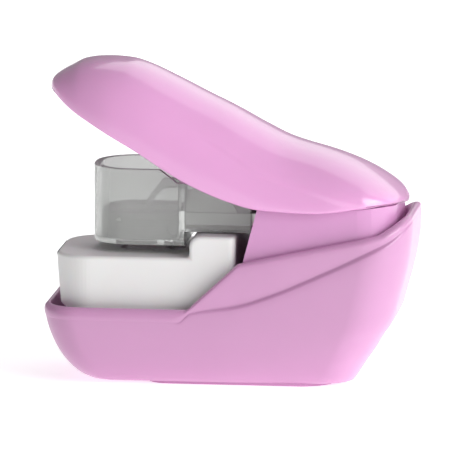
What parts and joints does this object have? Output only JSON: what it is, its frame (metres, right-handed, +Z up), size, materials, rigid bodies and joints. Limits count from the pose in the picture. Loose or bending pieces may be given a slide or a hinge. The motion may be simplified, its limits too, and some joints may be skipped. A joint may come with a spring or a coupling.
{
  "type": "staple-free stapler",
  "caption": "Small pink staple-free stapler: a hinged press handle sinks a white paper table onto fixed blades that cut and tuck a paper tab.",
  "frame": {"origin": "middle of the footprint on the surface it stands on", "axes": "+X towards the hinge end, +Y across towards the far side, +Z up"},
  "size_m": [0.0786, 0.036, 0.0677],
  "materials": {
    "cover_plastic": "high gloss moulded pink",
    "base_plastic": "glossy moulded pink",
    "skirt_plastic": "satin moulded pink",
    "table_plastic": "matte white",
    "clear_plastic": "clear, faint grey-green",
    "holder_plastic": "matte dark grey",
    "spacer_fibre": "brown fibre sheet",
    "sheet_steel": "zinc plated sheet",
    "blade_steel": "ground",
    "pin_steel": "turned",
    "spring_steel": "drawn wire",
    "screw_steel": "zinc plated",
    "bush_brass": "turned"
  },
  "bodies": {
    "base": {"base_shell": "base_plastic", "bottom_cover": "base_plastic", "chassis": "sheet_steel", "cover_screws": "screw_steel", "blade_block": "holder_plastic", "tab_cutter": "blade_steel", "slit_blade": "blade_steel", "blade_screws": "screw_steel", "hinge_pin": "pin_steel", "pin_clips": "pin_steel", "guide_posts": "pin_steel", "platform_springs": "spring_steel"},
    "platform": {"paper_table": "table_plastic", "die_plate": "sheet_steel", "clear_guide": "clear_plastic", "guide_block": "clear_plastic", "spacer_plate": "spacer_fibre", "pressure_bracket": "sheet_steel", "guide_screws": "screw_steel", "folder_pin": "pin_steel", "folder_spring": "spring_steel"},
    "handle": {"handle_cover": "cover_plastic", "handle_frame": "skirt_plastic", "press_lever": "sheet_steel", "press_roller": "pin_steel", "roller_pin": "pin_steel", "pivot_bushes": "bush_brass", "lever_screws": "screw_steel", "trip_finger": "holder_plastic"},
    "folder": {"tab_folder": "clear_plastic"}
  },
  "joints": [
    {"name": "handle_hinge", "type": "hinge", "parent": "base", "child": "handle", "pos_m": [0.0295, 0, 0.0324], "axis": [0, -1, 0], "range_deg": [0, 16]},
    {"name": "platform_slide", "type": "slide", "parent": "base", "child": "platform", "axis": [0, 0, -1], "range_m": [0, 0.0074], "stiffness_N_per_m": 40, "springref_m": -0.008, "deforming": ["platform_springs"]},
    {"name": "folder_hinge", "type": "hinge", "parent": "platform", "child": "folder", "pos_m": [-0.0082, 0, 0.0415], "axis": [0, -1, 0], "range_deg": [0, 22], "stiffness_Nm_per_rad": 0.002, "springref_deg": -22.92}
  ],
  "couplings": [
    {"joint": "platform_slide", "follows": "handle_hinge", "m_per_rad": 0.026182},
    {"joint": "folder_hinge", "follows": "handle_hinge", "ratio": 1.35}
  ]
}
